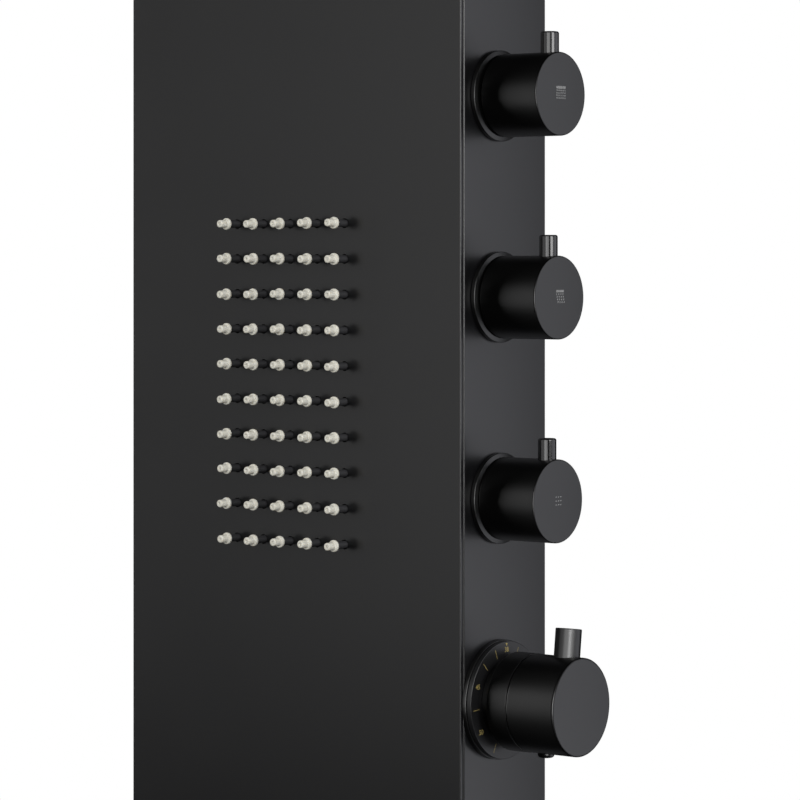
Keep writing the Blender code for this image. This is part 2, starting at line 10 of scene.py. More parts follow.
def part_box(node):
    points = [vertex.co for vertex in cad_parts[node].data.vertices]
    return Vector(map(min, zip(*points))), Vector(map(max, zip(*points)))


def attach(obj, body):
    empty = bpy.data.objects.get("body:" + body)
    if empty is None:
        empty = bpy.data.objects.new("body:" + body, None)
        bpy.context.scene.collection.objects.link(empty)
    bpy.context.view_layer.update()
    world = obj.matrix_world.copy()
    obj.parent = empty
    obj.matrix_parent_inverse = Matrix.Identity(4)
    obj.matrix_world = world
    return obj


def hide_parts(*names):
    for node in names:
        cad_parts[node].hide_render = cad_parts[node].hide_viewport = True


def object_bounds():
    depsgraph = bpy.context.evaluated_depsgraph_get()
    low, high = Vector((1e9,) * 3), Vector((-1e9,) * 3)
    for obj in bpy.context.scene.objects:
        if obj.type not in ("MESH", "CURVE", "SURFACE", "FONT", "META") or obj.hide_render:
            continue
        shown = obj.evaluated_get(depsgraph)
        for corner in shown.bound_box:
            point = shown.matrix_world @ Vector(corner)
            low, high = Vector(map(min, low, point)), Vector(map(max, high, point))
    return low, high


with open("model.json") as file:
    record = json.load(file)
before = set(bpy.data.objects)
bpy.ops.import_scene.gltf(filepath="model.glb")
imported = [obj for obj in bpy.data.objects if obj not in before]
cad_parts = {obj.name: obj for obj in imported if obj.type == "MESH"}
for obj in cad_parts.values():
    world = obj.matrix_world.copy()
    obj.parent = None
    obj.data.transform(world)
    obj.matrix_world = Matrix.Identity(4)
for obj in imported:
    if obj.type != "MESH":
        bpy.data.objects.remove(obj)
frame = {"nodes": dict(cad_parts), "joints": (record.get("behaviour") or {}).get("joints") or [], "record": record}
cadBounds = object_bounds()
nodes = frame["nodes"]
joints = {joint["name"]: joint for joint in frame["joints"]}
millimetre = 0.001
onAxis = 1e-7  # an outline point closer than this to the turning axis is a pole
random.seed(7)


def hexColour(code):
    channels = [int(code[i:i + 2], 16) / 255 for i in (1, 3, 5)]
    linear = [c / 12.92 if c <= 0.04045 else ((c + 0.055) / 1.055) ** 2.4 for c in channels]
    return (*linear, 1.0)


def addNode(tree, kind, settings=None, links=None):
    node = tree.nodes.new(kind)
    for key, value in (settings or {}).items():
        if isinstance(key, int) or key in node.inputs:
            node.inputs[key].default_value = value
        else:
            setattr(node, key, value)
    for key, socket in (links or {}).items():
        tree.links.new(socket, node.inputs[key])
    return node


def newMaterial(name, colour, roughness, **settings):
    made = bpy.data.materials.new(name)
    made.use_nodes = True
    tree = made.node_tree
    shader = tree.nodes["Principled BSDF"]
    shader.inputs["Base Color"].default_value = hexColour(colour)
    shader.inputs["Roughness"].default_value = roughness
    for key, value in settings.items():
        shader.inputs[key].default_value = value
    return made, tree, shader


def colourRamp(tree, factor, stops):
    ramp = addNode(tree, "ShaderNodeValToRGB", {}, {"Fac": factor})
    elements = ramp.color_ramp.elements
    while len(elements) < len(stops):
        elements.new(0.5)
    for element, (place, code) in zip(elements, stops):
        element.position = place
        element.color = hexColour(code)
    return ramp


def rounded(corners, closed=False, steps=5):
    # Corners are (a, b, radius); each with a radius becomes a short arc.
    outline = []
    count = len(corners)
    for i, (a, b, radius) in enumerate(corners):
        here = Vector((a, b))
        if radius <= 0 or (not closed and i in (0, count - 1)):
            outline.append(here)
            continue
        before = Vector(corners[i - 1][:2]) - here
        after = Vector(corners[(i + 1) % count][:2]) - here
        half = before.angle(after) / 2
        reach = radius / math.tan(half)
        centre = here + (before.normalized() + after.normalized()).normalized() * (radius / math.sin(half))
        start = here + before.normalized() * reach - centre
        end = here + after.normalized() * reach - centre
        sweep = start.angle_signed(end)
        for k in range(steps + 1):
            turned = start.copy()
            turned.rotate(Matrix.Rotation(-sweep * k / steps, 2))
            outline.append(centre + turned)
    return outline


def latheInto(mesh, outline, segments, place=Matrix()):
    # Turns an (along, radius) outline about X; an outline that starts off the axis closes on itself.
    rings = []
    for along, radius in outline:
        if radius < onAxis:
            rings.append([mesh.verts.new(place @ Vector((along, 0, 0)))])
            continue
        ring = []
        for k in range(segments):
            angle = math.tau * k / segments
            spot = Vector((along, -radius * math.sin(angle), radius * math.cos(angle)))
            ring.append(mesh.verts.new(place @ spot))
        rings.append(ring)
    pairs = list(zip(rings, rings[1:]))
    if outline[0][1] >= onAxis:
        pairs.append((rings[-1], rings[0]))
    for first, second in pairs:
        for k in range(segments):
            n = (k + 1) % segments
            loop = [first[k % len(first)], first[n % len(first)],
                    second[n % len(second)], second[k % len(second)]]
            mesh.faces.new(list(dict.fromkeys(loop)))


def prismInto(mesh, outline, place, low, high):
    # A closed outline in the place's XY plane, raised from low to high along its Z.
    lower = [mesh.verts.new(place @ Vector((x, y, low))) for x, y in outline]
    upper = [mesh.verts.new(place @ Vector((x, y, high))) for x, y in outline]
    mesh.faces.new(lower[::-1])
    mesh.faces.new(upper)
    for k in range(len(outline)):
        n = (k + 1) % len(outline)
        mesh.faces.new([lower[k], lower[n], upper[n], upper[k]])


def asPiece(name, mesh, finish, sharpAngle=40):
    bmesh.ops.recalc_face_normals(mesh, faces=mesh.faces)
    data = bpy.data.meshes.new(name)
    mesh.to_mesh(data)
    mesh.free()
    piece = bpy.data.objects.new(name, data)
    bpy.context.scene.collection.objects.link(piece)
    data.materials.append(finish)
    data.shade_smooth()
    data.set_sharp_from_angle(angle=math.radians(sharpAngle))
    return piece


def settle(piece):
    # Applies the piece's modifiers and keeps large faces flat in the shading.
    weighted = piece.modifiers.new("flat faces", "WEIGHTED_NORMAL")
    weighted.keep_sharp = True
    graph = bpy.context.evaluated_depsgraph_get()
    final = bpy.data.meshes.new_from_object(piece.evaluated_get(graph))
    piece.modifiers.clear()
    piece.data = final


def shape(piece, tool, operation="DIFFERENCE", sharpAngle=40):
    # Cuts the tool from the piece, or joins it on, and takes the tool away.
    step = piece.modifiers.new("shape", "BOOLEAN")
    step.operation = operation
    step.solver = "EXACT"
    step.object = tool
    graph = bpy.context.evaluated_depsgraph_get()
    final = bpy.data.meshes.new_from_object(piece.evaluated_get(graph))
    piece.modifiers.clear()
    piece.data = final
    piece.data.shade_smooth()
    piece.data.set_sharp_from_angle(angle=math.radians(sharpAngle))
    bpy.data.objects.remove(tool)


def place(piece, body, slotName, *replaced):
    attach(piece, body)
    if replaced:
        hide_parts(*replaced)


def turnedPiece(name, corners, at, finish, body, slotName, replaced=(), segments=96, turn=Matrix(),
                cutter=None):
    # A part off a lathe: its outline turned about X at a place, with any pockets cut in it.
    mesh = bmesh.new()
    latheInto(mesh, rounded(corners), segments, Matrix.Translation(at) @ turn)
    piece = asPiece(name, mesh, finish)
    if cutter:
        shape(piece, cutter)
    settle(piece)
    place(piece, body, slotName, *replaced)


def rodTool(start, direction, length, radius, segments=48):
    turn = Vector((1, 0, 0)).rotation_difference(Vector(direction)).to_matrix().to_4x4()
    mesh = bmesh.new()
    latheInto(mesh, [(0, 0), (0, radius), (length, radius), (length, 0)], segments,
              Matrix.Translation(start) @ turn)
    return mesh


def toolFrom(*meshes):
    joined = bmesh.new()
    for mesh in meshes:
        data = bpy.data.meshes.new("tool")
        mesh.to_mesh(data)
        mesh.free()
        joined.from_mesh(data)
        bpy.data.meshes.remove(data)
    return asPiece("tool", joined, bpy.data.materials[0])


print("stage: finishes")


def powderCoat(name, colour, roughness, grain, height):
    # Powder coat baked on steel: a thin skin with a fine orange peel that softens every reflection.
    made, tree, shader = newMaterial(name, colour, roughness, IOR=1.5)
    place3d = addNode(tree, "ShaderNodeNewGeometry")
    peel = addNode(tree, "ShaderNodeTexNoise", {"Scale": 1 / (grain * millimetre), "Detail": 2.0},
                   {"Vector": place3d.outputs["Position"]})
    cloud = addNode(tree, "ShaderNodeTexNoise", {"Scale": 1 / (60 * millimetre), "Detail": 3.0},
                    {"Vector": place3d.outputs["Position"]})
    patchy = addNode(tree, "ShaderNodeMapRange", {"To Min": roughness - 0.02, "To Max": roughness + 0.02},
                     {"Value": cloud.outputs["Fac"]})
    bump = addNode(tree, "ShaderNodeBump", {"Strength": 1.0, "Distance": height * millimetre},
                   {"Height": peel.outputs["Fac"]})
    tree.links.new(patchy.outputs["Result"], shader.inputs["Roughness"])
    tree.links.new(bump.outputs["Normal"], shader.inputs["Normal"])
    return made


coats = {"casing": ("#060607", 0.29), "knobs": ("#020202", 0.33), "dial": ("#0c0c0d", 0.40)}
casingCoat = powderCoat("powder_coated_steel", *coats["casing"], grain=0.9, height=0.0012)
knobCoat = powderCoat("painted_brass", *coats["knobs"], grain=0.6, height=0.0006)
dialCoat = powderCoat("painted_dial", *coats["dial"], grain=0.6, height=0.0006)


def glossLacquer():
    # Black lacquer over turned brass: smooth enough to hold the studio lights as clear stripes.
    made, tree, shader = newMaterial("lacquered_pin", "#0b0b0c", 0.16, IOR=1.55)
    place3d = addNode(tree, "ShaderNodeNewGeometry")
    turning = addNode(tree, "ShaderNodeTexNoise", {"Scale": 1 / (0.5 * millimetre), "Detail": 2.0},
                      {"Vector": place3d.outputs["Position"]})
    bump = addNode(tree, "ShaderNodeBump", {"Strength": 1.0, "Distance": 0.0003 * millimetre},
                   {"Height": turning.outputs["Fac"]})
    tree.links.new(bump.outputs["Normal"], shader.inputs["Normal"])
    return made


pinLacquer = glossLacquer()


def mouldedSilicone():
    # Liquid silicone rubber: light passes a little way in, so its edges glow and its shade stays soft.
    made, tree, shader = newMaterial("moulded_silicone", "#c2c0b6", 0.5, IOR=1.41)
    shader.inputs["Subsurface Weight"].default_value = 0.35
    shader.inputs["Subsurface Radius"].default_value = (1.0, 0.9, 0.75)
    shader.inputs["Subsurface Scale"].default_value = 0.8 * millimetre
    place3d = addNode(tree, "ShaderNodeNewGeometry")
    mottle = addNode(tree, "ShaderNodeTexNoise", {"Scale": 1 / (1.4 * millimetre), "Detail": 3.0},
                     {"Vector": place3d.outputs["Position"]})
    tint = colourRamp(tree, mottle.outputs["Fac"], [(0.3, "#b9b6ab"), (0.7, "#c9c7bd")])
    bump = addNode(tree, "ShaderNodeBump", {"Strength": 1.0, "Distance": 0.02 * millimetre},
                   {"Height": mottle.outputs["Fac"]})
    tree.links.new(tint.outputs["Color"], shader.inputs["Base Color"])
    tree.links.new(bump.outputs["Normal"], shader.inputs["Normal"])
    return made


silicone = mouldedSilicone()


def mouldedAbs():
    # Injection-moulded ABS: a faint spark-eroded grain breaks up its shine.
    made, tree, shader = newMaterial("moulded_abs", "#262628", 0.55, IOR=1.54)
    place3d = addNode(tree, "ShaderNodeNewGeometry")
    grain = addNode(tree, "ShaderNodeTexVoronoi", {"Scale": 1 / (0.25 * millimetre)},
                    {"Vector": place3d.outputs["Position"]})
    bump = addNode(tree, "ShaderNodeBump", {"Strength": 1.0, "Distance": 0.01 * millimetre},
                   {"Height": grain.outputs["Distance"]})
    tree.links.new(bump.outputs["Normal"], shader.inputs["Normal"])
    return made


blackPlastic = mouldedAbs()


def brushedSteel():
    # Pressed stainless sheet: long rolling lines run up it and smear its highlights.
    made, tree, shader = newMaterial("rolled_stainless", "#b9bbbd", 0.35, Metallic=1.0)
    place3d = addNode(tree, "ShaderNodeNewGeometry")
    along = addNode(tree, "ShaderNodeMapping", {"Scale": (1.0, 1.0, 0.03)},
                    {"Vector": place3d.outputs["Position"]})
    lines = addNode(tree, "ShaderNodeTexNoise", {"Scale": 1 / (0.3 * millimetre), "Detail": 3.0},
                    {"Vector": along.outputs["Vector"]})
    streak = addNode(tree, "ShaderNodeMapRange", {"To Min": 0.26, "To Max": 0.44},
                     {"Value": lines.outputs["Fac"]})
    bump = addNode(tree, "ShaderNodeBump", {"Strength": 1.0, "Distance": 0.004 * millimetre},
                   {"Height": lines.outputs["Fac"]})
    tree.links.new(streak.outputs["Result"], shader.inputs["Roughness"])
    tree.links.new(bump.outputs["Normal"], shader.inputs["Normal"])
    return made


steel = brushedSteel()


def machinedBrass():
    # Machined brass: the cutter leaves fine rings and the metal dulls unevenly.
    made, tree, shader = newMaterial("machined_brass", "#c9a45c", 0.32, Metallic=1.0)
    place3d = addNode(tree, "ShaderNodeNewGeometry")
    rings = addNode(tree, "ShaderNodeTexWave", {"bands_direction": "Y", "Scale": 1 / (2.0 * millimetre),
                                               "Distortion": 0.4}, {"Vector": place3d.outputs["Position"]})
    dulling = addNode(tree, "ShaderNodeTexNoise", {"Scale": 1 / (9 * millimetre), "Detail": 4.0},
                      {"Vector": place3d.outputs["Position"]})
    tint = colourRamp(tree, dulling.outputs["Fac"], [(0.3, "#b08b48"), (0.7, "#d2af68")])
    bump = addNode(tree, "ShaderNodeBump", {"Strength": 1.0, "Distance": 0.006 * millimetre},
                   {"Height": rings.outputs["Fac"]})
    tree.links.new(tint.outputs["Color"], shader.inputs["Base Color"])
    tree.links.new(bump.outputs["Normal"], shader.inputs["Normal"])
    return made


brass = machinedBrass()


def braidedSteel():
    # Stainless braid over a rubber hose: the crossing wires' small diamonds get a painted highlight in the colour,
    # and the gaps between them painted shade.
    made, tree, shader = newMaterial("stainless_braid", "#8f9193", 0.4, Metallic=0.9)
    place3d = addNode(tree, "ShaderNodeNewGeometry")
    heights = []
    for turn in (0.9, -0.9):
        tilted = addNode(tree, "ShaderNodeMapping", {"Rotation": (turn, turn, 0)},
                         {"Vector": place3d.outputs["Position"]})
        wires = addNode(tree, "ShaderNodeTexWave", {"bands_direction": "Z", "Scale": 1 / (6.0 * millimetre)},
                        {"Vector": tilted.outputs["Vector"]})
        heights.append(wires.outputs["Fac"])
    weave = addNode(tree, "ShaderNodeMath", {"operation": "MAXIMUM"}, {0: heights[0], 1: heights[1]})
    # Painted highlight on the wire crests and painted shade in the low gaps, both taken from the weave height.
    tint = colourRamp(tree, weave.outputs["Value"], [(0.2, "#3a3b3c"), (0.8, "#b6b8ba")])
    bump = addNode(tree, "ShaderNodeBump", {"Strength": 1.0, "Distance": 0.2 * millimetre},
                   {"Height": weave.outputs["Value"]})
    tree.links.new(tint.outputs["Color"], shader.inputs["Base Color"])
    tree.links.new(bump.outputs["Normal"], shader.inputs["Normal"])
    return made


braid = braidedSteel()


def printedInk(name, colour, wornColour):
    # Pad-printed ink: slightly broken where the print is thin.
    made, tree, shader = newMaterial(name, colour, 0.6, IOR=1.48)
    place3d = addNode(tree, "ShaderNodeNewGeometry")
    thin = addNode(tree, "ShaderNodeTexNoise", {"Scale": 1 / (0.35 * millimetre), "Detail": 2.0},
                   {"Vector": place3d.outputs["Position"]})
    tint = colourRamp(tree, thin.outputs["Fac"], [(0.35, wornColour), (0.6, colour)])
    tree.links.new(tint.outputs["Color"], shader.inputs["Base Color"])
    return made


iconInk = printedInk("grey_pad_print", "#7b7b7a", "#4c4c4c")
dialInk = printedInk("yellow_fill", "#a08f52", "#6c6038")

finishBySlot = {"black_paint": casingCoat, "black_dial": dialCoat, "silicone": silicone, "brass": brass,
                "steel": steel, "abs": blackPlastic, "hose": braid}
slotByNode = {part["node"]: part["material_slot"] for part in frame["record"]["subparts"]}
for name, node in nodes.items():
    node.data.materials.clear()
    node.data.materials.append(finishBySlot[slotByNode[name]])


print("stage: casing")
casing = {"edge": 0.6 * millimetre, "foldEdge": 1.1 * millimetre, "backEdge": 0.3 * millimetre,
          "sheet": 2 * millimetre, "jetHole": 2.5 * millimetre, "controlHole": 11.5 * millimetre,
          "outletHole": 8.3 * millimetre}


def softBlock(name, low, high, finish, edge, segments=4):
    mesh = bmesh.new()
    size = high - low
    bmesh.ops.create_cube(mesh, size=1.0, matrix=Matrix.Translation((low + high) / 2)
                          @ Matrix.Diagonal((*size, 1)))
    bmesh.ops.bevel(mesh, geom=mesh.edges, offset=edge, segments=segments, affect="EDGES", profile=0.5)
    return asPiece(name, mesh, finish, sharpAngle=30)


jetGrid = {"pitch": 18 * millimetre, "rows": 10, "columns": 5}


def jetPlaces():
    low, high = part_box("jet_mat")
    pitch, rows, columns = jetGrid["pitch"], jetGrid["rows"], jetGrid["columns"]
    centreX, centreZ = (low.x + high.x) / 2, (low.z + high.z) / 2
    for row in range(rows):
        for column in range(columns):
            yield centreX + (column - (columns - 1) / 2) * pitch, centreZ + ((rows - 1) / 2 - row) * pitch


def frontCover():
    low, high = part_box("front_cover")
    cover = softBlock("front_cover_plate", low, high, casingCoat, casing["edge"], segments=5)
    holes = [rodTool((x, low.y - millimetre, z), (0, 1, 0), 4 * millimetre, casing["jetHole"], 20)
             for x, z in jetPlaces()]
    shape(cover, toolFrom(*holes), sharpAngle=30)
    settle(cover)
    place(cover, "casing", "black_paint", "front_cover")


def sidePanel(name, node, side, holes):
    low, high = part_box(node)
    # A bent sheet: the side wall, and a fold behind the front cover's edge.
    outer, fold = (high.x, low.x) if side > 0 else (low.x, high.x)
    sheet = casing["sheet"]
    inner = outer - side * sheet
    corners = [(outer, high.y, casing["backEdge"]), (outer, low.y, casing["foldEdge"]), (fold, low.y, 0),
               (fold, low.y + sheet, 0), (inner, low.y + sheet, 0), (inner, high.y, 0)]
    mesh = bmesh.new()
    prismInto(mesh, rounded(corners, closed=True), Matrix(), low.z, high.z)
    panel = asPiece(name, mesh, casingCoat, sharpAngle=30)
    tools = [rodTool((inner - side * sheet, y, z), (side, 0, 0), 3 * sheet, radius)
             for y, z, radius in holes]
    shape(panel, toolFrom(*tools), sharpAngle=30)
    settle(panel)
    place(panel, "casing", "black_paint", node)


controlNames = ("rain", "hand", "jets")
axes = {name: Vector(joints[name + "_turn"]["pos_m"]) for name in controlNames}
thermostatAxis = Vector(joints["temperature_turn"]["pos_m"])
frontCover()
controlHoles = [(axis.y, axis.z, casing["controlHole"]) for axis in (*axes.values(), thermostatAxis)]
sidePanel("right_side_sheet", "right_side_panel", 1, controlHoles)
outletLow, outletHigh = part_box("hand_outlet_rosette")
outletCentre = (outletLow + outletHigh) / 2
sidePanel("left_side_sheet", "left_side_panel", -1, [(outletCentre.y, outletCentre.z, casing["outletHole"])])


print("stage: body jets")
jet = {"neck": 1.95, "collar": 3.0, "tip": 1.95, "collarStart": 7.6, "collarEnd": 9.1, "tipEnd": 13.9,
       "dimple": 0.8, "tilt": 1.2}  # millimetres off the cover's face; the tilt is in degrees


def bodyJets():
    mm = millimetre
    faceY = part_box("front_cover")[0].y
    tips, necks = bmesh.new(), bmesh.new()
    tipCorners = [(jet["collarStart"], 0, 0), (jet["collarStart"], jet["collar"], 0.3),
                  (jet["collarEnd"], jet["collar"], 0.45), (jet["collarEnd"], jet["tip"] + 0.25, 0.3),
                  (jet["collarEnd"] + 0.4, jet["tip"], 0.3), (jet["tipEnd"], jet["tip"], 0.55),
                  (jet["tipEnd"], jet["dimple"], 0.15), (jet["tipEnd"] - 0.6, jet["dimple"] * 0.55, 0),
                  (jet["tipEnd"] - 0.6, 0, 0)]
    neckCorners = [(-6.0, 0, 0), (-6.0, jet["neck"], 0), (jet["collarStart"] - 0.05, jet["neck"], 0),
                   (jet["collarStart"] - 0.05, 0, 0)]
    outward = Matrix.Rotation(-math.pi / 2, 4, "Z")
    for x, z in jetPlaces():
        lean = Matrix.Rotation(math.radians(random.uniform(-jet["tilt"], jet["tilt"])), 4, "X")
        sway = Matrix.Rotation(math.radians(random.uniform(-jet["tilt"], jet["tilt"])), 4, "Z")
        stand = Matrix.Translation((x, faceY, z)) @ lean @ sway @ outward @ Matrix.Scale(mm, 4)
        latheInto(tips, rounded(tipCorners, steps=3), 24, stand)
        latheInto(necks, rounded(neckCorners), 20, stand)
    place(asPiece("jet_tips", tips, silicone), "casing", "silicone", "jet_mat")
    place(asPiece("jet_necks", necks, blackPlastic), "casing", "abs")


bodyJets()


print("stage: stop valves")
valve = {"rim": 0.75, "pinEdge": 1.0, "crown": 0.12, "spindle": 4.3, "socketDepth": 7, "skirtDepth": 6,
         "skirt": 16, "ringBore": 9, "screw": 2.7}  # millimetres; the bores are radii


printDepth, printHeight = 0.02 * millimetre, 0.03 * millimetre  # below and above the printed surface


def endFace(axis):
    # Lays XY drawings on a face square to X: the drawing's X runs back along Y, its Y runs up.
    return Matrix(((0, 0, 1, axis.x), (1, 0, 0, axis.y), (0, 1, 0, axis.z), (0, 0, 0, 1)))


def iconStrokes(name):
    # Short printed bars as (centre y, centre z, width, height, lean) in millimetres on the knob's face.
    strokes = []
    if name == "rain":
        strokes.append((0.0, 3.1, 7.6, 1.3, 0.0))
        strokes += [((column - 2) * 1.65, 1.6 - row * 1.25, 0.75, 0.75, 0.0)
                    for column in range(5) for row in range(4)]
    elif name == "hand":
        strokes.append((0.3, 3.2, 6.4, 1.2, 0.0))
        strokes += [((column - 1.5) * 1.7 + row * 0.35, 1.7 - row * 1.3, 0.7, 0.8, 0.25)
                    for column in range(4) for row in range(4)]
    else:
        strokes += [((column - 1) * 1.9, 2.2 - row * 1.9, 0.9, 0.55, 0.5)
                    for column in range(3) for row in range(3)]
    return strokes


def stopValve(name):
    mm = millimetre
    axis = axes[name]
    body = name + "_valve"
    knobLow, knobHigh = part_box(name + "_knob")
    pinLow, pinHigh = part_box(name + "_lever")
    start, end = knobLow.x - axis.x, knobHigh.x - axis.x
    radius = (knobHigh.z - knobLow.z) / 2
    pinX = (pinLow.x + pinHigh.x) / 2 - axis.x
    pin = (pinHigh.x - pinLow.x) / 2
    foot, top = pinLow.z - axis.z, pinHigh.z - axis.z
    rim, crown = valve["rim"] * mm, valve["crown"] * mm
    spindle, skirt, ringBore = valve["spindle"] * mm, valve["skirt"] * mm, valve["ringBore"] * mm
    socket, hollow = end - valve["socketDepth"] * mm, start + valve["skirtDepth"] * mm
    corners = [(socket, 0, 0), (socket, spindle, 0), (hollow, spindle, 0), (hollow, skirt, 0),
               (start, skirt, 0.2 * mm), (start, radius, 0.4 * mm), (end - crown, radius, rim),
               (end - crown * 0.25, radius * 0.5, 0), (end, 0, 0)]
    pocket = toolFrom(rodTool(axis + Vector((pinX, 0, foot - 0.3 * mm)), (0, 0, 1), 12 * mm, pin + 0.08 * mm),
                      rodTool(axis + Vector((pinX, 0, 0)), (0, 0, 1), 16 * mm, valve["screw"] * mm, 24))
    turnedPiece(name + "_knob_turned", corners, axis, knobCoat, body, "black_paint", [name + "_knob"],
                segments=128, cutter=pocket)

    upward = Matrix.Rotation(-math.pi / 2, 4, "Y")
    pinCorners = [(foot, 0, 0), (foot, pin, 0), (top, pin, valve["pinEdge"] * mm), (top, 0, 0)]
    turnedPiece(name + "_lever_pin", pinCorners, axis + Vector((pinX, 0, 0)), pinLacquer, body, "black_paint",
                [name + "_lever"], segments=64, turn=upward)

    ringLow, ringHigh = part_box(name + "_base_ring")
    back, face, outer = ringLow.x - axis.x, ringHigh.x - axis.x, (ringHigh.z - ringLow.z) / 2
    ringCorners = [(back, ringBore, 0), (back, outer, 0.2 * mm), (face - 0.7 * mm, outer, 0.35 * mm),
                   (face, outer - 2.1 * mm, 0.1 * mm), (face, ringBore, 0)]
    turnedPiece(name + "_ring_turned", ringCorners, axis, knobCoat, "casing", "black_paint",
                [name + "_base_ring"], segments=128)

    icon = bmesh.new()
    for across, up, width, height, lean in iconStrokes(name):
        bar = [(-width / 2, -height / 2), (width / 2, -height / 2), (width / 2 + lean * height, height / 2),
               (-width / 2 + lean * height, height / 2)]
        outline = [((across + a) * mm, (up + b) * mm) for a, b in bar]
        prismInto(icon, outline, endFace(axis), end - printDepth, end + printHeight)
    place(asPiece(name + "_icon", icon, iconInk), body, "black_paint")


for name in controlNames:
    stopValve(name)


print("stage: thermostat")
thermostat = {"rim": 1.2, "leverLean": -6.6, "crown": 0.2, "leverFoot": 16.3, "neckEnd": 11.0,
              "neckRadius": 20.5, "bore": 9, "spindle": 4.3, "screw": 2.7}
dialMarks = {"inner": 22.5, "outer": 27.2, "width": 0.24, "numberSize": 3.5, "numberRadius": 25.0,
             "pointer": (26.9, 28.3, 0.8), "numbers": {0: "38", 70: "45", 124: "50"},
             "ticks": (-21, 20, 44, 96, 157)}  # numbers and ticks stand at degrees from the top to the front


def dialPoint(angle, radius):
    return Vector((-radius * math.sin(angle), radius * math.cos(angle)))


def numberMesh(text, size):
    font = bpy.data.curves.new("number", "FONT")
    font.body = text
    font.size = size
    font.align_x = "CENTER"
    font.align_y = "CENTER"
    font.extrude = printHeight
    font.offset = 0.01 * millimetre
    holder = bpy.data.objects.new("number", font)
    bpy.context.scene.collection.objects.link(holder)
    graph = bpy.context.evaluated_depsgraph_get()
    mesh = bpy.data.meshes.new_from_object(holder.evaluated_get(graph))
    bpy.data.objects.remove(holder)
    bpy.data.curves.remove(font)
    return mesh


def dialPrint():
    mm = millimetre
    axis = thermostatAxis
    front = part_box("thermostat_dial")[1].x - axis.x
    facing = endFace(axis)
    marks = bmesh.new()
    for turn in dialMarks["ticks"]:
        inner = dialPoint(math.radians(turn), dialMarks["inner"] * mm)
        outer = dialPoint(math.radians(turn), dialMarks["outer"] * mm)
        side = (outer - inner).orthogonal().normalized() * dialMarks["width"] * mm / 2
        prismInto(marks, [inner - side, inner + side, outer + side, outer - side], facing,
                  front - printDepth, front + printHeight)
    tipRadius, backRadius, halfWidth = (size * mm for size in dialMarks["pointer"])
    tip, back, across = dialPoint(0, tipRadius), dialPoint(0, backRadius), Vector((halfWidth, 0))
    prismInto(marks, [tip, back + across, back - across], facing, front - printDepth, front + printHeight)
    for turn, text in dialMarks["numbers"].items():
        mesh = numberMesh(text, dialMarks["numberSize"] * mm)
        spot = dialPoint(math.radians(turn), dialMarks["numberRadius"] * mm)
        mesh.transform(facing @ Matrix.Translation((spot.x, spot.y, front)))
        marks.from_mesh(mesh)
        bpy.data.meshes.remove(mesh)
    place(asPiece("dial_marks", marks, dialInk), "casing", "black_dial")


def reach(node):
    # Where a round node starts and ends along X from the thermostat's axis point, and its radius.
    low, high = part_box(node)
    return low.x - thermostatAxis.x, high.x - thermostatAxis.x, (high.z - low.z) / 2


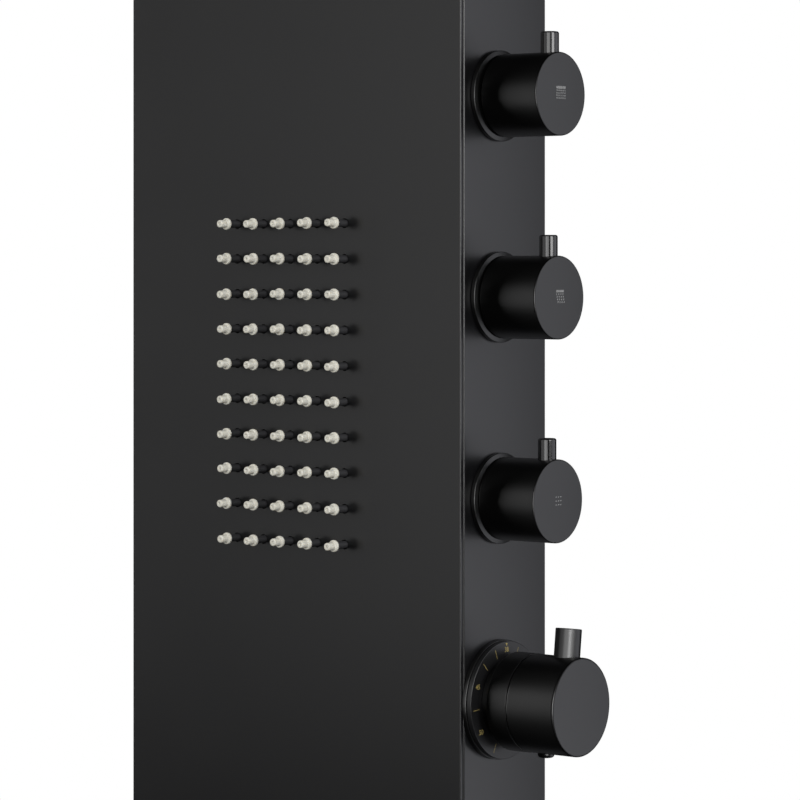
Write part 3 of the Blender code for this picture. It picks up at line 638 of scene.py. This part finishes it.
def thermostatParts():
    mm = millimetre
    axis = thermostatAxis
    body = "thermostat_control"
    bore, spindle, screw = (thermostat[size] * mm for size in ("bore", "spindle", "screw"))
    for node, coat, slotName in (("thermostat_rosette", knobCoat, "black_paint"),
                                 ("thermostat_dial", dialCoat, "black_dial")):
        back, face, outer = reach(node)
        disc = [(back, bore, 0), (back, outer, 0.2 * mm), (face, outer, 0.3 * mm), (face, bore, 0)]
        turnedPiece(node + "_turned", disc, axis, coat, "casing", slotName, [node], segments=144)
    back, face, outer = reach("thermostat_sleeve")
    neckEnd, neckRadius = thermostat["neckEnd"] * mm, thermostat["neckRadius"] * mm
    sleeve = [(back, bore, 0), (back, neckRadius, 0), (neckEnd, neckRadius, 0), (neckEnd, outer, 0.5 * mm),
              (face, outer, 0.3 * mm), (face, bore, 0)]
    turnedPiece("thermostat_sleeve_turned", sleeve, axis, knobCoat, "casing", "black_paint",
                ["thermostat_sleeve"], segments=144)

    start, end, radius = reach("thermostat_handle")
    leverStart, leverEnd = reach("thermostat_lever")[:2]
    buttonStart, buttonEnd = reach("thermostat_button")[:2]
    leverX, leverRadius = (leverStart + leverEnd) / 2, (leverEnd - leverStart) / 2
    buttonX, buttonRadius = (buttonStart + buttonEnd) / 2, (buttonEnd - buttonStart) / 2
    lean = Matrix.Rotation(math.radians(thermostat["leverLean"]), 4, "X")
    upward = lean @ Vector((0, 0, 1))
    pockets = toolFrom(
        rodTool(axis + Vector((leverX, 0, 0)) + upward * 16 * mm, upward, 14 * mm, leverRadius + 0.1 * mm),
        rodTool(axis + Vector((leverX, 0, 0)), upward, 18 * mm, screw, 24),
        rodTool(axis + Vector((buttonX, 0, -13 * mm)), (0, 0, -1), 16 * mm, buttonRadius + 0.2 * mm))
    crown = thermostat["crown"] * mm
    handle = [(end - 8 * mm, 0, 0), (end - 8 * mm, spindle, 0), (start, spindle, 0), (start, radius, 0.3 * mm),
              (end - crown, radius, thermostat["rim"] * mm), (end - crown * 0.25, radius * 0.5, 0), (end, 0, 0)]
    turnedPiece("thermostat_handle_turned", handle, axis, knobCoat, body, "black_paint", ["thermostat_handle"],
                segments=144, cutter=pockets)
    # The lever leans, so its length comes from the height of its highest edge.
    standing = lean @ Matrix.Rotation(-math.pi / 2, 4, "Y")
    slope = math.radians(-thermostat["leverLean"])
    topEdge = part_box("thermostat_lever")[1].z - axis.z
    leverTop = (topEdge - leverRadius * math.sin(slope)) / math.cos(slope)
    foot = thermostat["leverFoot"] * mm
    lever = [(foot, 0, 0), (foot, leverRadius, 0), (leverTop, leverRadius, 0.35 * mm), (leverTop, 0, 0)]
    turnedPiece("thermostat_lever_turned", lever, axis + Vector((leverX, 0, 0)), knobCoat, body, "black_paint",
                ["thermostat_lever"], segments=80, turn=standing)
    hanging = Matrix.Rotation(math.pi / 2, 4, "Y")
    buttonLow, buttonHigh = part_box("thermostat_button")
    tip, root = axis.z - buttonLow.z, axis.z - buttonHigh.z
    springLow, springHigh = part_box("button_spring")
    cup = (springHigh.x - springLow.x) / 2 + 0.3 * mm  # takes in the spring's lower coils when pressed
    button = [(root + 2.5 * mm, 0, 0), (root + 2.5 * mm, cup, 0), (root, cup, 0), (root, buttonRadius, 0),
              (tip - 0.2 * mm, buttonRadius, 1.6 * mm), (tip, 0, 0)]
    turnedPiece("safety_button_turned", button, axis + Vector((buttonX, 0, 0)), knobCoat, "safety_button",
                "black_paint", ["thermostat_button"], segments=64, turn=hanging)


thermostatParts()
dialPrint()


print("stage: outlet")
outlet = {"barrel": 11, "barrelEnd": 34, "spigotAt": -22, "spigot": 9, "waterway": 6, "threads": 6}


def handOutlet():
    mm = millimetre
    low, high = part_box("hand_outlet_rosette")
    at = Vector((high.x + 0.3 * mm, outletCentre.y, outletCentre.z))
    outward = Matrix.Rotation(math.pi, 4, "Z")
    turnedPiece("outlet_rosette_turned", [(0.3 * mm, 8.4 * mm, 0), (0.3 * mm, 21 * mm, 0.2 * mm),
                (3 * mm, 21 * mm, 0.6 * mm), (3.6 * mm, 19.5 * mm, 0.3 * mm), (3.6 * mm, 8.4 * mm, 0)],
                at, knobCoat, "casing", "black_paint", ["hand_outlet_rosette"], turn=outward)
    barrel = bmesh.new()
    corners = [(-12 * mm, 0, 0), (-12 * mm, 8 * mm, 0), (4 * mm, 8 * mm, 0),
               (4 * mm, outlet["barrel"] * mm, 0.4 * mm),
               (outlet["barrelEnd"] * mm, outlet["barrel"] * mm, 1.2 * mm), (outlet["barrelEnd"] * mm, 0, 0)]
    latheInto(barrel, rounded(corners), 80, Matrix.Translation(at) @ outward)
    elbow = asPiece("outlet_elbow_turned", barrel, knobCoat)
    down = Matrix.Rotation(math.pi / 2, 4, "Y")
    spigotAt = Vector((outlet["spigotAt"] * mm, 0, 0))
    spigot = bmesh.new()
    threads = [(0.0, 0.0, 0), (0.0, outlet["spigot"], 0), (13.0, outlet["spigot"], 0.4)]
    for turn in range(outlet["threads"]):
        threads += [(14.0 + turn * 1.8, 8.7, 0), (14.9 + turn * 1.8, 9.5, 0)]
    threads += [(25.5, 8.7, 0), (30.0, 8.7, 0.4), (30.0, 0, 0)]
    latheInto(spigot, rounded([(a * mm, b * mm, c * mm) for a, b, c in threads]), 64,
              Matrix.Translation(at + spigotAt) @ down)
    shape(elbow, toolFrom(spigot), "UNION")
    channel = toolFrom(rodTool(at + spigotAt, (0, 0, -1), 40 * mm, outlet["waterway"] * mm),
                       rodTool(at + Vector((20 * mm, 0, 0)), (-1, 0, 0), 20 * mm, 5 * mm))
    shape(elbow, channel)
    settle(elbow)
    place(elbow, "casing", "black_paint", "hand_outlet")


handOutlet()


print("stage: rain canopy")
canopy = {"edge": 1.2 * millimetre, "nozzlePitch": 26 * millimetre, "rows": 8, "columns": 6,
          "sheet": 2 * millimetre, "plateEdge": 0.4 * millimetre, "hole": 2.7 * millimetre}


def rainPlaces():
    low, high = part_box("rain_mat")
    centreX, centreY = (low.x + high.x) / 2, (low.y + high.y) / 2
    pitch, rows, columns = canopy["nozzlePitch"], canopy["rows"], canopy["columns"]
    for row in range(rows):
        for column in range(columns):
            yield centreX + (column - (columns - 1) / 2) * pitch, centreY + (row - (rows - 1) / 2) * pitch


def rainCanopy():
    mm = millimetre
    low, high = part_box("rain_shell")
    shell = softBlock("rain_shell_pressed", low, high, casingCoat, canopy["edge"], segments=5)
    tray = bmesh.new()
    sheet = canopy["sheet"]
    inLow = Vector((low.x + sheet, low.y + sheet, low.z - 3 * mm))
    inHigh = Vector((high.x - sheet, high.y - sheet, high.z - sheet))
    bmesh.ops.create_cube(tray, size=1.0, matrix=Matrix.Translation((inLow + inHigh) / 2)
                          @ Matrix.Diagonal((*(inHigh - inLow), 1)))
    shape(shell, toolFrom(tray), sharpAngle=30)
    settle(shell)
    place(shell, "casing", "black_paint", "rain_shell")

    low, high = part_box("rain_plate")
    plate = softBlock("rain_plate_pressed", low, high, casingCoat, canopy["plateEdge"], segments=3)
    holes = [rodTool((x, y, low.z - mm), (0, 0, 1), 4 * mm, canopy["hole"], 20) for x, y in rainPlaces()]
    shape(plate, toolFrom(*holes), sharpAngle=30)
    settle(plate)
    place(plate, "casing", "black_paint", "rain_plate")

    matLow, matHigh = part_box("rain_mat")
    base = matHigh.z
    nozzles = bmesh.new()
    bottom = base - matLow.z
    down = Matrix.Rotation(math.pi / 2, 4, "Y")
    corners = [(0, 0, 0), (0, 2.4 * mm, 0), (bottom - 2 * mm, 2.4 * mm, 0), (bottom, 1.8 * mm, 0.5 * mm),
               (bottom, 0.6 * mm, 0.1 * mm), (bottom - 0.8 * mm, 0.4 * mm, 0), (bottom - 0.8 * mm, 0, 0)]
    for x, y in rainPlaces():
        latheInto(nozzles, rounded(corners, steps=3), 20, Matrix.Translation((x, y, base)) @ down)
    place(asPiece("rain_nozzles", nozzles, silicone), "casing", "silicone", "rain_mat")


rainCanopy()


print("stage: studio")
camera = {"turn": 38.732, "place": (1.1209, -1.3779, -0.6017), "lens": 151.66, "shiftY": -0.1746}
studio = {"floorDrop": 0.85, "floorHalf": 4.5, "floorLight": 1.1, "floorLightHeight": 2.6,
          "floorLightSide": 7.0, "backdrop": "#ffffff", "roomGlow": 0.012, "distance": 2.4,
          "white": "#ffffff", "coolWhite": "#f7f8ff"}


def setCamera():
    data = bpy.data.cameras.new("camera")
    data.lens = camera["lens"]
    data.sensor_width = 36
    data.shift_y = camera["shiftY"]
    data.clip_start = 0.01
    data.clip_end = 50
    view = bpy.data.objects.new("camera", data)
    bpy.context.scene.collection.objects.link(view)
    view.location = camera["place"]
    view.rotation_euler = (math.pi / 2, 0, math.radians(camera["turn"]))
    bpy.context.scene.camera = view


def softbox(name, azimuth, width, low, high, radiance):
    # Azimuth counts from the column's front towards its controls.
    angle = math.radians(azimuth)
    away = Vector((math.sin(angle), -math.cos(angle), 0))
    spot = Vector((thermostatAxis.x, thermostatAxis.y, 0)) + away * studio["distance"]
    return panelLight(name, spot, angle, width, low, high, radiance, "white")


def flagged(light, state, hidden=()):
    # The round controls are flagged off from the big softboxes and get a low light of their own.
    coated = [piece for piece in bpy.data.objects
              if piece.type == "MESH" and knobCoat.name in piece.data.materials]
    linkTo(light, [piece for piece in coated if not any(word in piece.name for word in hidden)], state)


def linkTo(light, pieces, state):
    receivers = bpy.data.collections.new(light.name + "_receivers")
    for piece in pieces:
        receivers.objects.link(piece)
    for member in receivers.collection_objects:
        member.light_linking.link_state = state
    light.light_linking.receiver_collection = receivers


def panelLight(name, spot, facing, width, low, high, radiance, colour):
    light = bpy.data.lights.new(name, "AREA")
    light.shape = "RECTANGLE"
    light.size = width
    light.size_y = high - low
    light.energy = radiance * math.pi * width * (high - low)
    light.color = hexColour(studio[colour])[:3]
    holder = bpy.data.objects.new(name, light)
    bpy.context.scene.collection.objects.link(holder)
    holder.location = (spot.x, spot.y, (low + high) / 2)
    holder.rotation_euler = (math.pi / 2, 0, facing)
    holder.visible_camera = False
    return holder


def cardBetween(name, first, second, low, high, radiance, colour):
    # An upright lit card from one floor point to another; it shines towards the left of that line.
    start, end = Vector((*first, 0)), Vector((*second, 0))
    run = end - start
    facing = math.atan2(run.y, run.x)
    panelLight(name, (start + end) / 2, facing, run.length, low, high, radiance, colour)


def studioWorld():
    world = bpy.data.worlds.new("studio")
    world.use_nodes = True
    bpy.context.scene.world = world
    tree = world.node_tree
    tree.nodes.clear()
    # Reflections see a dark room and the lit softboxes; only the camera sees the white backdrop.
    room = addNode(tree, "ShaderNodeBackground", {"Color": hexColour(studio["backdrop"]),
                                                  "Strength": studio["roomGlow"]})
    seen = addNode(tree, "ShaderNodeBackground", {"Color": hexColour(studio["backdrop"]), "Strength": 1.0})
    path = addNode(tree, "ShaderNodeLightPath")
    mixed = addNode(tree, "ShaderNodeMixShader", {}, {0: path.outputs["Is Camera Ray"], 1: room.outputs[0],
                                                     2: seen.outputs[0]})
    addNode(tree, "ShaderNodeOutputWorld", {}, {"Surface": mixed.outputs[0]})


def studioFloor():
    low = cadBounds[0][2] - studio["floorDrop"]
    mesh = bmesh.new()
    bmesh.ops.create_grid(mesh, x_segments=1, y_segments=1, size=studio["floorHalf"],
                          matrix=Matrix.Translation((0, -0.3, low)))
    made, tree, shader = newMaterial("pale_floor_paint", "#e6e5e2", 0.7)
    place3d = addNode(tree, "ShaderNodeNewGeometry")
    cloud = addNode(tree, "ShaderNodeTexNoise", {"Scale": 1 / 0.4, "Detail": 3.0},
                    {"Vector": place3d.outputs["Position"]})
    tint = colourRamp(tree, cloud.outputs["Fac"], [(0.3, "#e2e1de"), (0.7, "#e9e8e5")])
    tree.links.new(tint.outputs["Color"], shader.inputs["Base Color"])
    floor = asPiece("floor", mesh, made)
    floor.visible_glossy = False
    floor.visible_diffuse = False
    side = studio["floorLightSide"]
    above = panelLight("floor_light", Vector((0, -0.3, 0)), 0, side, -side / 2, side / 2,
                       studio["floorLight"], "white")
    above.location.z = low + studio["floorLightHeight"]
    above.rotation_euler = (0, 0, 0)
    linkTo(above, [floor], "INCLUDE")


eyeLevel = camera["place"][2]
setCamera()
studioWorld()
studioFloor()
lowLine, highLine = eyeLevel - 0.62, eyeLevel + 1.6
knobReach = 0.7
openPieces = ("ring", "rosette", "lever")  # lit by the big softboxes, unlike the other round controls
for light in (softbox("key_softbox", 22, 1.7, lowLine, highLine, 3.6),
              softbox("front_softbox", -11, 2.9, lowLine, highLine, 1.0)):
    flagged(light, "EXCLUDE", openPieces)
flagged(softbox("left_softbox", -64, 1.1, lowLine, highLine, 1.1), "EXCLUDE")
flagged(softbox("side_softbox", 77, 1.3, eyeLevel - 0.12, highLine, 8.0), "EXCLUDE", ("lever",))
flagged(softbox("knob_softbox", -71, 1.2, eyeLevel - knobReach, eyeLevel + knobReach, 18.0), "INCLUDE")
flagged(softbox("rim_softbox", 52, 0.7, eyeLevel - knobReach, eyeLevel + knobReach, 15.0), "INCLUDE")
# The rear card fills the mirror view of the right side face and of the controls' end faces.
cardBetween("rear_card", (1.25, 0.10), (0.342, 0.320), eyeLevel - 0.8, eyeLevel + 0.35, 1.35, "coolWhite")
bpy.context.scene.view_settings.view_transform = "Standard"
